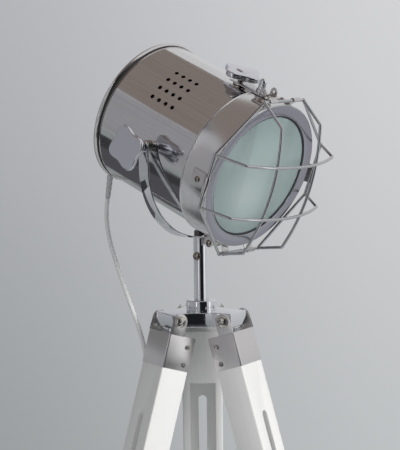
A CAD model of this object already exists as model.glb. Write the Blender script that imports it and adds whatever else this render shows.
"""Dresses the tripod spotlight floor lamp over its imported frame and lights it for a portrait.

Every piece is shaped in millimetres in the frame of the part that carries it (stem, leg, yoke, head or
foot switch), laid in its place in metres, given its finish and told which body it rides on.
"""

import logging
import math
from dataclasses import dataclass
from enum import Enum
from typing import Any, Iterable, Sequence

import bpy
from mathutils import Matrix, Vector


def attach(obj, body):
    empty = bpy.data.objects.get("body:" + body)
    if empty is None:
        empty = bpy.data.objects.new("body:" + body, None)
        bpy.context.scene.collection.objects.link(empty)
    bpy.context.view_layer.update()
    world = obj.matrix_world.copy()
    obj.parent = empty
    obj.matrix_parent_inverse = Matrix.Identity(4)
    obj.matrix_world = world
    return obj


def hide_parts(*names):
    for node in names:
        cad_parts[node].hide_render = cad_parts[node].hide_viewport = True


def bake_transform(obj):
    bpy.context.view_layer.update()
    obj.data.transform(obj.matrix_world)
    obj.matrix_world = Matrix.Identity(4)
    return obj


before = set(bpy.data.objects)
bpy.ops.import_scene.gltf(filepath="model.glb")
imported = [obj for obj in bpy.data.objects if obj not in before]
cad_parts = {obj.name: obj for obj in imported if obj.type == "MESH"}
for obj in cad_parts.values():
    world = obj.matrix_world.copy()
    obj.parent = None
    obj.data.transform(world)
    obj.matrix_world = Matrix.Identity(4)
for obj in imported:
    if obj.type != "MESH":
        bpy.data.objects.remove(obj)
log = logging.getLogger("lamp")

Point = tuple[float, float, float]
Pair = tuple[float, float]
Colour = tuple[float, float, float]

# Places and turns at rest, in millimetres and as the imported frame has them.
MM = 0.001
STEM_Y = -84.048  # the stem's axis, in front of the origin
HUB_TOP = 1136.0  # the top of the cast hub
TILT_Z = 1366.0  # the height of the tilt axis
PAN = math.radians(48.5)  # how far the yoke is turned towards +x
TILT = math.radians(22.0)  # how far the head looks down
SPLAY = math.radians(16.0)  # how far each leg leans out
PIVOT_R = 49.0  # the legs' hinges, from the stem's axis
PIVOT_Z = 1126.0  # the legs' hinges, above the floor
LEG_AZIMUTHS = {"left": -60.0, "right": 60.0, "rear": 180.0}
HINGE = (-117.0, 74.0)  # y and z of the door's hinge pin, in the head's frame
LATCH_Z = 39.0  # where the latch stands along the drum
BOLT_R = 4.0  # the radius of the bolts and of the latch's stud
ELBOW = (-27.0, -72.0, -118.2)  # the middle of the elbow's ball, in the head's frame


def turn(degrees: float, axis: str) -> Matrix:
    """A rotation by so many degrees about one of the axes."""
    return Matrix.Rotation(math.radians(degrees), 4, axis)


def shift(x: float, y: float, z: float) -> Matrix:
    """A translation in millimetres."""
    return Matrix.Translation((x, y, z))


@dataclass(frozen=True)
class Place:
    """A named frame that pieces are shaped in, and its matrix in millimetres."""

    name: str
    matrix: Matrix


# How a plate's outline is stood up: where its own x, its own y and its thickness go.
EDGEWISE = Matrix(((0, 0, 1, 0), (1, 0, 0, 0), (0, 1, 0, 0), (0, 0, 0, 1)))  # to y, to z and to x
UPRIGHT = Matrix(((1, 0, 0, 0), (0, 0, -1, 0), (0, 1, 0, 0), (0, 0, 0, 1)))  # to x, to z and to -y
HANGING = Matrix(((0, 0, -1, 0), (0, -1, 0, 0), (-1, 0, 0, 0), (0, 0, 0, 1)))  # to -z, to -y and to -x

STEM = Place("stem", shift(0, STEM_Y, 0))
YOKE = Place("yoke", STEM.matrix @ shift(0, 0, TILT_Z) @ Matrix.Rotation(PAN, 4, "Z"))
HEAD = Place("head", YOKE.matrix @ Matrix.Rotation(math.pi / 2 + TILT, 4, "X"))
SWITCH = Place("switch", STEM.matrix @ shift(-190, 67, 0) @ turn(150, "Z"))


def leg_place(side: str) -> Place:
    """The frame of one leg: x across, -y outwards and -z down from its pivot."""
    hinge = shift(0, -PIVOT_R, PIVOT_Z) @ Matrix.Rotation(-SPLAY, 4, "X")
    return Place(f"leg_{side}", STEM.matrix @ turn(LEG_AZIMUTHS[side], "Z") @ hinge)


# ---------- finishes ----------


class Num:
    """A number socket with Python's operators on it, each of which adds a Math node."""

    def __init__(self, shader: "Shader", socket: Any) -> None:
        """Wraps an output socket of the shader's tree."""
        self.shader = shader
        self.socket = socket

    def _do(self, operation: str, first: Any, second: Any) -> "Num":
        """Adds one Math node.

        Args:
            operation: the node's operation.
            first: a Num or a plain number.
            second: a Num or a plain number.

        Returns:
            The node's result.
        """
        node = self.shader.node("ShaderNodeMath", {"operation": operation}, {0: first, 1: second})
        return Num(self.shader, node.outputs[0])

    def __add__(self, other: Any) -> "Num":
        """self + other."""
        return self._do("ADD", self, other)

    __radd__ = __add__

    def __sub__(self, other: Any) -> "Num":
        """self - other."""
        return self._do("SUBTRACT", self, other)

    def __rsub__(self, other: Any) -> "Num":
        """other - self."""
        return self._do("SUBTRACT", other, self)

    def __mul__(self, other: Any) -> "Num":
        """self * other."""
        return self._do("MULTIPLY", self, other)

    __rmul__ = __mul__

    def __truediv__(self, other: Any) -> "Num":
        """self / other."""
        return self._do("DIVIDE", self, other)

    def __pow__(self, other: Any) -> "Num":
        """self to the power of other."""
        return self._do("POWER", self, other)

    def between(self, low: float, high: float) -> "Num":
        """Rises smoothly from 0 at low to 1 at high.

        Args:
            low: where it is still 0.
            high: where it reaches 1.

        Returns:
            The smoothed number.
        """
        inputs = {0: self, 1: low, 2: high, 3: 0.0, 4: 1.0}
        node = self.shader.node("ShaderNodeMapRange", {"interpolation_type": "SMOOTHSTEP"}, inputs)
        return Num(self.shader, node.outputs[0])


def off_axis(x: Num, y: Num) -> Num:
    """How far a point is from the axis, from its x and y."""
    return (x * x + y * y) ** 0.5


class Shader:
    """A node tree that is being written, with one way of adding a node."""

    def __init__(self, tree: bpy.types.NodeTree) -> None:
        """Empties the tree.

        Args:
            tree: a material's or the world's node tree.
        """
        self.tree = tree
        tree.nodes.clear()

    def node(self, kind: str, settings: dict | None = None, inputs: dict | None = None) -> bpy.types.Node:
        """Adds a node, sets its settings first, and then fills or links its sockets.

        Args:
            kind: the node's type.
            settings: its properties; "stops" are a colour ramp's places and colours.
            inputs: a value, a socket or a Num for each socket, by its name, identifier or index.

        Returns:
            The new node.
        """
        node = self.tree.nodes.new(kind)
        for key, value in (settings or {}).items():
            if key == "stops":
                ramp = node.color_ramp.elements
                while len(ramp) < len(value):
                    ramp.new(1.0)
                for element, (at, colour) in zip(ramp, value):
                    element.position, element.color = at, (*colour, 1.0)
            else:
                setattr(node, key, value)
        for key, value in (inputs or {}).items():
            by_id = {s.identifier: s for s in node.inputs}
            socket = node.inputs[key] if isinstance(key, int) else by_id.get(key) or node.inputs[key]
            value = value.socket if isinstance(value, Num) else value
            if isinstance(value, bpy.types.NodeSocket):
                self.tree.links.new(value, socket)
            elif isinstance(value, tuple) and len(value) == 3 and socket.type == "RGBA":
                socket.default_value = (*value, 1.0)
            else:
                socket.default_value = value
        return node

    def local(self, place: Place) -> Any:
        """The place's own coordinates in millimetres, at each point of a surface.

        Args:
            place: the frame whose coordinates they are.

        Returns:
            The coordinates, as a socket.
        """
        spot = self.node("ShaderNodeTexCoord").outputs["Object"]
        matrix = place.matrix
        mapping = {
            "Vector": spot,
            "Location": matrix.translation * MM,
            "Rotation": matrix.to_euler(),
            "Scale": (MM, MM, MM),
        }
        return self.node("ShaderNodeMapping", {"vector_type": "TEXTURE"}, mapping).outputs[0]

    def scaled(self, vector: Any, scale: Point) -> Any:
        """The vector with each of its parts multiplied."""
        return self.node("ShaderNodeVectorMath", {"operation": "MULTIPLY"}, {0: vector, 1: scale}).outputs[0]

    def parts(self, vector: Any) -> tuple[Num, Num, Num]:
        """The vector's x, y and z."""
        node = self.node("ShaderNodeSeparateXYZ", None, {0: vector})
        return Num(self, node.outputs[0]), Num(self, node.outputs[1]), Num(self, node.outputs[2])

    def joined(self, x: Any, y: Any, z: Any) -> Any:
        """A vector from three numbers."""
        return self.node("ShaderNodeCombineXYZ", None, {0: x, 1: y, 2: z}).outputs[0]

    def noise(self, vector: Any, detail: float = 2.0, rough: float = 0.5) -> Num:
        """Soft noise of unit scale on a vector."""
        inputs = {"Vector": vector, "Scale": 1.0, "Detail": detail, "Roughness": rough}
        return Num(self, self.node("ShaderNodeTexNoise", None, inputs).outputs[0])

    def blend(self, factor: Any, first: Any, second: Any) -> Any:
        """A colour between two colours."""
        inputs = {"Factor_Float": factor, "A_Color": first, "B_Color": second}
        node = self.node("ShaderNodeMix", {"data_type": "RGBA"}, inputs)
        return next(s for s in node.outputs if s.identifier == "Result_Color")

    def bump(self, height: Any, distance: float, strength: float, onto: Any = None) -> Any:
        """A bumped normal, with its distance in millimetres.

        Args:
            height: what is raised, from 0 to 1.
            distance: how high a height of 1 stands.
            strength: how much of the bump shows.
            onto: a bumped normal that this one goes on.

        Returns:
            The normal, as a socket.
        """
        inputs = {"Height": height, "Distance": distance * MM, "Strength": strength}
        if onto is not None:
            inputs["Normal"] = onto
        return self.node("ShaderNodeBump", None, inputs).outputs[0]

    def shown(self, body: bpy.types.Node, output: str = "ShaderNodeOutputMaterial") -> None:
        """Leads a shader node to the tree's output."""
        self.node(output, None, {"Surface": body.outputs[0]})


def new_material(name: str) -> tuple[bpy.types.Material, Shader]:
    """A new material, and the shader that writes its nodes."""
    material = bpy.data.materials.new(name)
    material.use_nodes = True
    return material, Shader(material.node_tree)


class Pattern(Enum):
    """What a finish looks like from close by."""

    SHEET = "polished sheet with faint waves and polishing lines along it"
    TURNED = "fine rings round the piece's axis"
    BRUSHED = "fine lines along the piece"
    CAST = "plated casting, softly uneven"
    PAINTED = "paint over a straight grain"
    MOULDED = "fine even moulding grain"
    WORN = "plated screw with darkened hollows"


@dataclass(frozen=True)
class Finish:
    """One finish of the lamp: its colour, the deep colour of its marks, its gloss and its surface."""

    name: str
    slot: str
    colour: Colour
    deep: Colour
    rough: float
    pattern: Pattern
    metal: float = 0.0
    relief: float = 1.0
    coat: float = 0.0

    def dress(self, place: Place) -> bpy.types.Material:
        """Makes the finish for pieces in one place, or finds it if it is there.

        Args:
            place: the frame that the pattern follows.

        Returns:
            The material.
        """
        name = f"{self.name}.{place.name}"
        if name in bpy.data.materials:
            return bpy.data.materials[name]
        material, shader = new_material(name)
        spot = shader.local(place)
        stain, rough, normal = getattr(self, f"_{self.pattern.name.lower()}")(shader, spot)
        surface = {
            "Base Color": shader.blend(stain, self.colour, self.deep),
            "Metallic": self.metal,
            "Roughness": rough,
            "Normal": normal,
            "Coat Weight": self.coat,
            "Coat Roughness": 0.12,
        }
        shader.shown(shader.node("ShaderNodeBsdfPrincipled", None, surface))
        material.diffuse_color = (*self.colour, 1.0)
        return material

    def _sheet(self, shader: Shader, spot: Any) -> tuple[Num, Num, Any]:
        """Waves a few centimetres long, streaks and hair-fine polishing lines along it, and smudges.

        Args:
            shader: the tree that is written.
            spot: the place's coordinates in millimetres.

        Returns:
            The share of the deep colour, the roughness and the normal.
        """
        waves = shader.noise(shader.scaled(spot, (0.034, 0.034, 0.008)), 1.0)
        streaks = shader.noise(shader.scaled(spot, (0.22, 0.22, 0.004)), 3.0, 0.6)
        lines = shader.noise(shader.scaled(spot, (1.9, 1.9, 0.05)), 3.0, 0.6)
        smudge = shader.noise(shader.scaled(spot, (0.035, 0.035, 0.05)), 5.0, 0.65).between(0.5, 0.78)
        rough = self.rough + lines * 0.03 + smudge * 0.07
        normal = shader.bump(waves, 0.55, self.relief, shader.bump(streaks, 0.05, self.relief))
        stain = smudge * 0.35 + lines * 0.2 + streaks.between(0.4, 0.65) * 0.45
        return stain, rough, shader.bump(lines, 0.012, self.relief, normal)

    def _turned(self, shader: Shader, spot: Any) -> tuple[Num, Num, Any]:
        """Rings of uneven depth round the axis, with a faint change along each ring.

        Args:
            shader: the tree that is written.
            spot: the place's coordinates in millimetres.

        Returns:
            The share of the deep colour, the roughness and the normal.
        """
        x, y, z = shader.parts(spot)
        radius = off_axis(x, y)
        rings = shader.noise(shader.joined(radius * 2.6, z * 2.6, (x - y) * 0.012), 3.0, 0.6)
        wide = shader.noise(shader.joined(radius * 0.11, z * 0.11, x * 0.012), 2.0)
        rough = self.rough + (rings - 0.5) * 0.11 + wide * 0.04
        return rings * 0.6 + wide * 0.3, rough, shader.bump(rings, 0.014, self.relief)

    def _brushed(self, shader: Shader, spot: Any) -> tuple[Num, Num, Any]:
        """Lines along the piece, a soft unevenness, and handling marks.

        Args:
            shader: the tree that is written.
            spot: the place's coordinates in millimetres.

        Returns:
            The share of the deep colour, the roughness and the normal.
        """
        lines = shader.noise(shader.scaled(spot, (2.4, 2.4, 0.03)), 3.0, 0.6)
        marks = shader.noise(shader.scaled(spot, (0.06, 0.06, 0.05)), 4.0, 0.6)
        rough = self.rough + (lines - 0.5) * 0.07 + marks.between(0.5, 0.8) * 0.09
        normal = shader.bump(marks, 0.16, self.relief)
        return lines * 0.5 + marks * 0.35, rough, shader.bump(lines, 0.008, self.relief, normal)

    def _cast(self, shader: Shader, spot: Any) -> tuple[Num, Num, Any]:
        """A soft ripple under the plating, and a few small pits.

        Args:
            shader: the tree that is written.
            spot: the place's coordinates in millimetres.

        Returns:
            The share of the deep colour, the roughness and the normal.
        """
        ripple = shader.noise(shader.scaled(spot, (0.07, 0.07, 0.07)), 2.0)
        pits = shader.noise(shader.scaled(spot, (0.9, 0.9, 0.9)), 3.0, 0.55)
        pit = pits.between(0.66, 0.8)
        rough = self.rough + ripple * 0.04 + pit * 0.12
        normal = shader.bump(ripple, 0.16, self.relief)
        return pit * 0.6 + ripple * 0.25, rough, shader.bump(1.0 - pit, 0.02, self.relief, normal)

    def _painted(self, shader: Shader, spot: Any) -> tuple[Num, Num, Any]:
        """Grain that telegraphs through the paint, brush dullness, and faint yellowing.

        Args:
            shader: the tree that is written.
            spot: the place's coordinates in millimetres.

        Returns:
            The share of the deep colour, the roughness and the normal.
        """
        grain = shader.noise(shader.scaled(spot, (0.42, 0.42, 0.006)), 4.0, 0.6)
        orange_peel = shader.noise(shader.scaled(spot, (0.8, 0.8, 0.8)), 1.0)
        tone = shader.noise(shader.scaled(spot, (0.012, 0.012, 0.004)), 3.0)
        rough = self.rough + (grain - 0.5) * 0.12
        stain = grain.between(0.45, 0.75) * 0.35 + tone * 0.4
        normal = shader.bump(grain, 0.09, self.relief)
        return stain, rough, shader.bump(orange_peel, 0.02, self.relief, normal)

    def _moulded(self, shader: Shader, spot: Any) -> tuple[Num, Num, Any]:
        """A fine grain and a slow change of tone.

        Args:
            shader: the tree that is written.
            spot: the place's coordinates in millimetres.

        Returns:
            The share of the deep colour, the roughness and the normal.
        """
        grain = shader.noise(shader.scaled(spot, (2.2, 2.2, 2.2)), 2.0)
        tone = shader.noise(shader.scaled(spot, (0.05, 0.05, 0.05)), 3.0)
        rough = self.rough + (grain - 0.5) * 0.12
        return tone * 0.6 + grain * 0.2, rough, shader.bump(grain, 0.03, self.relief)

    def _worn(self, shader: Shader, spot: Any) -> tuple[Num, Num, Any]:
        """Blotches of tarnish and tool marks.

        Args:
            shader: the tree that is written.
            spot: the place's coordinates in millimetres.

        Returns:
            The share of the deep colour, the roughness and the normal.
        """
        tarnish = shader.noise(shader.scaled(spot, (0.35, 0.35, 0.35)), 4.0, 0.6)
        marks = shader.noise(shader.scaled(spot, (2.5, 2.5, 2.5)), 2.0)
        rough = self.rough + tarnish * 0.12
        return tarnish.between(0.4, 0.68), rough, shader.bump(marks, 0.03, self.relief)


# Each finish: its name, slot, colour, deep colour, roughness and pattern, then metal and relief.
DRUM = Finish(
    "drum_sheet", "shell_steel", (0.79, 0.785, 0.785), (0.66, 0.64, 0.63), 0.07, Pattern.SHEET, 1.0
)
COVER = Finish(
    "cover_sheet", "shell_steel", (0.80, 0.78, 0.765), (0.66, 0.64, 0.62), 0.13, Pattern.TURNED, 1.0
)
BAND = Finish(
    "band_sheet", "band_steel", (0.82, 0.815, 0.81), (0.68, 0.67, 0.66), 0.20, Pattern.TURNED, 1.0
)
BEZEL = Finish(
    "bezel_sheet", "bezel_grey", (0.50, 0.50, 0.545), (0.42, 0.42, 0.46), 0.13, Pattern.TURNED, 1.0
)
CHROME = Finish(
    "chrome", "chromed_steel", (0.84, 0.85, 0.875), (0.70, 0.71, 0.74), 0.035, Pattern.BRUSHED, 1.0, 0.5
)
CASTING = Finish(
    "plated_casting", "cast_alloy", (0.80, 0.81, 0.84), (0.60, 0.61, 0.64), 0.07, Pattern.CAST, 1.0
)
KNOB = Finish("knob_plating", "cast_alloy", (0.74, 0.74, 0.79), (0.55, 0.55, 0.60), 0.10, Pattern.CAST, 1.0)
WIRE = Finish(
    "wire_plating", "chromed_steel", (0.76, 0.76, 0.78), (0.30, 0.29, 0.29), 0.05, Pattern.BRUSHED, 1.0, 0.4
)
NICKEL = Finish(
    "nickel_sheet", "nickel_steel", (0.74, 0.72, 0.71), (0.60, 0.58, 0.56), 0.16, Pattern.BRUSHED, 1.0
)
CAP_SHEET = Finish(
    "cap_sheet", "nickel_steel", (0.78, 0.76, 0.75), (0.66, 0.64, 0.63), 0.30, Pattern.BRUSHED, 1.0, 0.6
)
SCREW = Finish(
    "screw_steel", "dark_steel", (0.52, 0.46, 0.40), (0.16, 0.12, 0.095), 0.20, Pattern.WORN, 1.0
)
CAP_SCREW = Finish(
    "cap_screw_steel", "dark_steel", (0.66, 0.64, 0.62), (0.20, 0.19, 0.18), 0.24, Pattern.WORN, 1.0
)
BOLT = Finish("bolt_steel", "nickel_steel", (0.74, 0.72, 0.68), (0.50, 0.46, 0.41), 0.14, Pattern.WORN, 1.0)
NUT = Finish(
    "blackened_steel", "dark_steel", (0.20, 0.19, 0.19), (0.09, 0.085, 0.08), 0.34, Pattern.WORN, 1.0
)
PAINT = Finish(
    "white_paint", "white_wood", (0.80, 0.80, 0.79), (0.72, 0.715, 0.70), 0.40, Pattern.PAINTED, coat=0.15
)
SEAM = Finish("seam_lacquer", "dark_steel", (0.035, 0.034, 0.034), (0.02, 0.02, 0.02), 0.85, Pattern.TURNED)
RUBBER = Finish(
    "foot_rubber", "black_rubber", (0.022, 0.022, 0.024), (0.04, 0.04, 0.042), 0.72, Pattern.MOULDED
)
GREY_RUBBER = Finish(
    "sleeve_rubber", "grey_rubber", (0.56, 0.56, 0.56), (0.46, 0.46, 0.46), 0.6, Pattern.MOULDED
)
GREY_PLASTIC = Finish(
    "elbow_plastic", "grey_plastic", (0.50, 0.50, 0.51), (0.42, 0.42, 0.43), 0.42, Pattern.MOULDED
)
WHITE_PLASTIC = Finish(
    "white_moulding", "white_plastic", (0.80, 0.80, 0.78), (0.74, 0.735, 0.71), 0.3, Pattern.MOULDED
)
CORD_SKIN = Finish(
    "cord_skin", "white_cord", (0.80, 0.80, 0.80), (0.77, 0.77, 0.765), 0.5, Pattern.MOULDED, relief=0.04
)
TIE_STRAP = Finish(
    "tie_strap", "black_plastic", (0.02, 0.02, 0.021), (0.035, 0.035, 0.036), 0.55, Pattern.MOULDED
)
CERAMIC = Finish(
    "holder_ceramic", "cream_plastic", (0.78, 0.76, 0.70), (0.70, 0.67, 0.60), 0.22, Pattern.MOULDED
)
BULB = Finish(
    "bulb_glass", "bulb_glass", (0.86, 0.86, 0.83), (0.80, 0.80, 0.77), 0.18, Pattern.MOULDED, relief=0.2
)


@dataclass(frozen=True)
class FrostedGlass:
    """The frosted front glass: pale green-grey, lighter where the lamp sits behind it."""

    name: str = "frosted_glass"
    slot: str = "frosted_glass"
    radius: float = 88.5
    rim: Colour = (0.255, 0.325, 0.325)
    middle: Colour = (0.33, 0.415, 0.41)
    glow: Colour = (0.47, 0.55, 0.54)
    glow_at: Pair = (-14.0, -26.0)

    def dress(self, place: Place) -> bpy.types.Material:
        """Makes the glass.

        Args:
            place: the head's frame.

        Returns:
            The material.
        """
        material, shader = new_material(self.name)
        spot = shader.local(place)
        x, y, _ = shader.parts(spot)
        from_lamp = off_axis(x - self.glow_at[0], y - self.glow_at[1])
        mottle = shader.noise(shader.scaled(spot, (0.03, 0.03, 0.03)), 3.0)
        frost = shader.noise(shader.scaled(spot, (3.0, 3.0, 3.0)), 2.0)
        inward = off_axis(x, y).between(self.radius, 0.35 * self.radius) + (mottle - 0.5) * 0.25
        wash = shader.blend(inward, self.rim, self.middle)
        surface = {
            "Base Color": shader.blend(from_lamp.between(62.0, 4.0) * 0.6, wash, self.glow),
            "Roughness": 0.30 + (frost - 0.5) * 0.08,
            "Transmission Weight": 0.12,
            "IOR": 1.48,
            "Coat Weight": 0.25,
            "Coat Roughness": 0.08,
            "Normal": shader.bump(frost, 0.02, 1.0),
        }
        shader.shown(shader.node("ShaderNodeBsdfPrincipled", None, surface))
        return material


# ---------- the bench ----------


class Bench:
    """The operators that every piece is made with."""

    @staticmethod
    def clear() -> None:
        """Leaves edit mode and deselects everything."""
        if bpy.context.object is not None and bpy.context.object.mode != "OBJECT":
            bpy.ops.object.mode_set(mode="OBJECT")
        bpy.ops.object.select_all(action="DESELECT")

    @classmethod
    def pick(cls, *pieces: bpy.types.Object) -> None:
        """Selects some pieces alone.

        Args:
            pieces: the pieces, of which the first becomes active.
        """
        cls.clear()
        for piece in pieces:
            piece.select_set(True)
        bpy.context.view_layer.objects.active = pieces[0]

    @classmethod
    def trace(cls, name: str, points: Sequence[Point], closed: bool) -> bpy.types.Object:
        """Draws a line of edges by extruding a single vertex, and stays in edit mode.

        Args:
            name: the piece's name.
            points: the places that the line goes through.
            closed: whether the line comes back to its start.

        Returns:
            The line, as a mesh object with all of it selected.
        """
        cls.clear()
        bpy.ops.mesh.primitive_plane_add(size=1.0)
        line = bpy.context.object
        line.name = name
        bpy.ops.object.mode_set(mode="EDIT")
        bpy.ops.mesh.select_all(action="SELECT")
        bpy.ops.mesh.merge(type="CENTER")
        path = [Vector(p) for p in points]
        path = path + path[:1] if closed else path
        bpy.ops.transform.translate(value=path[0])
        for here, there in zip(path, path[1:]):
            bpy.ops.mesh.extrude_vertices_move(TRANSFORM_OT_translate={"value": there - here})
        bpy.ops.mesh.select_all(action="SELECT")
        bpy.ops.mesh.remove_doubles(threshold=0.001)
        return line

    @classmethod
    def turned(
        cls, name: str, profile: Sequence[Pair], steps: int = 64, closed: bool = False
    ) -> bpy.types.Object:
        """Turns a profile of radius and height about the z axis.

        Args:
            name: the piece's name.
            profile: pairs of radius and height.
            steps: facets round the piece.
            closed: whether the profile is a ring away from the axis.

        Returns:
            The turned piece.
        """
        piece = cls.trace(name, [(r, 0.0, z) for r, z in profile], closed)
        bpy.ops.mesh.spin(steps=steps, angle=2 * math.pi, center=(0, 0, 0), axis=(0, 0, 1))
        bpy.ops.mesh.select_all(action="SELECT")
        bpy.ops.mesh.remove_doubles(threshold=0.002)
        bpy.ops.mesh.normals_make_consistent(inside=False)
        bpy.ops.object.mode_set(mode="OBJECT")
        return piece

    @classmethod
    def plate(
        cls, name: str, outline: Sequence[Pair], height: float, ease: float = 0.0, rounds: int = 3
    ) -> bpy.types.Object:
        """Extrudes an outline upwards from z = 0 and eases its edges.

        Args:
            name: the piece's name.
            outline: the corners in the xy plane.
            height: the plate's thickness.
            ease: width of the eased edges.
            rounds: facets of each eased edge.

        Returns:
            The plate.
        """
        piece = cls.trace(name, [(x, y, 0.0) for x, y in outline], True)
        bpy.ops.mesh.edge_face_add()
        bpy.ops.mesh.extrude_region_move(TRANSFORM_OT_translate={"value": (0, 0, height)})
        bpy.ops.mesh.select_all(action="SELECT")
        bpy.ops.mesh.normals_make_consistent(inside=False)
        bpy.ops.object.mode_set(mode="OBJECT")
        if ease:
            cls.eased(piece, ease, rounds)
        return piece

    @classmethod
    def block(
        cls, name: str, low: Point, high: Point, ease: float = 0.0, rounds: int = 3
    ) -> bpy.types.Object:
        """A block between two corners with eased edges.

        Args:
            name: the piece's name.
            low: its lowest corner.
            high: its highest corner.
            ease: width of the eased edges.
            rounds: facets of each eased edge.

        Returns:
            The block.
        """
        cls.clear()
        start, end = Vector(low), Vector(high)
        bpy.ops.mesh.primitive_cube_add(size=1.0, location=(start + end) / 2, scale=end - start)
        piece = bpy.context.object
        piece.name = name
        bpy.ops.object.transform_apply(location=True, rotation=True, scale=True)
        if ease:
            cls.eased(piece, ease, rounds)
        return piece

    @classmethod
    def rod(cls, name: str, radius: float, low: float, high: float, sides: int = 48) -> bpy.types.Object:
        """A plain rod along z, which drills a hole or is the blank of a piece.

        Args:
            name: the rod's name.
            radius: its radius.
            low: its lower end.
            high: its upper end.
            sides: facets round it.

        Returns:
            The rod.
        """
        cls.clear()
        middle = (0, 0, (low + high) / 2)
        bpy.ops.mesh.primitive_cylinder_add(vertices=sides, radius=radius, depth=high - low, location=middle)
        piece = bpy.context.object
        piece.name = name
        bpy.ops.object.transform_apply(location=True, rotation=True, scale=True)
        return piece

    @classmethod
    def modifier(cls, piece: bpy.types.Object, kind: str, **settings: Any) -> None:
        """Adds a modifier with these settings and applies it.

        Args:
            piece: what it is added to.
            kind: the modifier's type.
            settings: its properties, by name.
        """
        made = piece.modifiers.new(kind.lower(), kind)
        for key, value in settings.items():
            setattr(made, key, value)
        cls.pick(piece)
        bpy.ops.object.modifier_apply(modifier=made.name)

    @classmethod
    def eased(
        cls, piece: bpy.types.Object, width: float, rounds: int = 3, angle: float = 40.0
    ) -> bpy.types.Object:
        """Eases the edges that are sharper than an angle.

        Args:
            piece: what is eased.
            width: width of the eased edges.
            rounds: facets of each eased edge.
            angle: edges sharper than this, in degrees, are eased.

        Returns:
            The piece.
        """
        limit = {"limit_method": "ANGLE", "angle_limit": math.radians(angle)}
        cls.modifier(piece, "BEVEL", width=width, segments=rounds, **limit)
        return piece

    @classmethod
    def cut(cls, piece: bpy.types.Object, *tools: bpy.types.Object, keep: bool = False) -> bpy.types.Object:
        """Cuts the tools from a piece, or keeps only what lies inside them, and clears the tools away.

        Args:
            piece: what is cut.
            tools: the solids that cut it.
            keep: whether the inside is kept instead.

        Returns:
            The piece.
        """
        for tool in tools:
            operation = "INTERSECT" if keep else "DIFFERENCE"
            cls.modifier(piece, "BOOLEAN", object=tool, operation=operation, solver="EXACT")
            bpy.data.objects.remove(tool)
        return piece

    @classmethod
    def join(cls, name: str, pieces: Iterable[bpy.types.Object]) -> bpy.types.Object:
        """Makes one object of several.

        Args:
            name: the name of what comes out.
            pieces: what is joined, the first one active.

        Returns:
            The one object.
        """
        cls.pick(*pieces)
        bpy.ops.object.join()
        bpy.context.object.name = name
        return bpy.context.object

    @classmethod
    def laid(cls, piece: bpy.types.Object, matrix: Matrix) -> bpy.types.Object:
        """Moves a piece by a matrix and applies the move to its mesh.

        Args:
            piece: what is moved.
            matrix: where it goes.

        Returns:
            The piece.
        """
        piece.matrix_world = matrix
        cls.pick(piece)
        bpy.ops.object.transform_apply(location=True, rotation=True, scale=True)
        return piece

    @classmethod
    def copies(cls, name: str, piece: bpy.types.Object, spots: Iterable[Matrix]) -> bpy.types.Object:
        """Puts a copy of a piece, with its own mesh, at each spot, and joins the copies.

        Args:
            name: the name of what comes out.
            piece: the model, which is used up.
            spots: a matrix for each copy.

        Returns:
            The joined copies.
        """
        made = []
        for spot in spots:
            twin = piece.copy()
            twin.data = piece.data.copy()
            bpy.context.collection.objects.link(twin)
            made.append(cls.laid(twin, spot))
        bpy.data.objects.remove(piece)
        return cls.join(name, made)

    @classmethod
    def tube(
        cls, name: str, points: Sequence[Point], radius: float, closed: bool = False, rounds: int = 4
    ) -> bpy.types.Object:
        """A round bar or cord along points.

        Args:
            name: the piece's name.
            points: its centreline.
            radius: its radius.
            closed: whether it comes back to its start.
            rounds: the curve's bevel resolution.

        Returns:
            The bar as a mesh.
        """
        line = bpy.data.curves.new(name, "CURVE")
        line.dimensions = "3D"
        spline = line.splines.new("POLY")
        spline.points.add(len(points) - 1)
        for spot, point in zip(spline.points, points):
            spot.co = (*point, 1.0)
        spline.use_cyclic_u = closed
        line.bevel_depth = radius
        line.bevel_resolution = rounds
        line.use_fill_caps = not closed
        piece = bpy.data.objects.new(name, line)
        bpy.context.collection.objects.link(piece)
        cls.pick(piece)
        bpy.ops.object.convert(target="MESH")
        piece = bpy.context.object
        bpy.ops.object.mode_set(mode="EDIT")
        bpy.ops.mesh.select_all(action="SELECT")
        bpy.ops.mesh.remove_doubles(threshold=0.001)
        bpy.ops.mesh.normals_make_consistent(inside=False)
        bpy.ops.object.mode_set(mode="OBJECT")
        return piece

    @classmethod
    def fitted(
        cls,
        piece: bpy.types.Object,
        place: Place,
        body: str,
        finish: Finish | FrostedGlass,
        nodes: Sequence[str] = (),
        angle: float = 32.0,
    ) -> bpy.types.Object:
        """Lays a finished piece in its place in metres, dresses it and lets it ride on its body.

        Args:
            piece: the piece, in millimetres in its place's frame.
            place: that frame.
            body: the body that carries it.
            finish: what it is dressed in.
            nodes: the frame's nodes that it stands for.
            angle: edges sharper than this stay sharp.

        Returns:
            The piece.
        """
        cls.laid(piece, Matrix.Scale(MM, 4) @ place.matrix)
        bpy.ops.object.shade_smooth_by_angle(angle=math.radians(angle))
        piece.data.materials.clear()
        piece.data.materials.append(finish.dress(place))
        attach(piece, body)
        if nodes:
            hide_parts(*nodes)
        log.info("%s rides on %s in %s", piece.name, body, finish.name)
        return piece


def arc(centre: Pair, radius: float, start: float, end: float, steps: int) -> list[Pair]:
    """Points on an arc, both ends included; angles are in degrees."""
    angles = [math.radians(start + (end - start) * i / steps) for i in range(steps + 1)]
    return [(centre[0] + radius * math.cos(a), centre[1] + radius * math.sin(a)) for a in angles]


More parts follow.
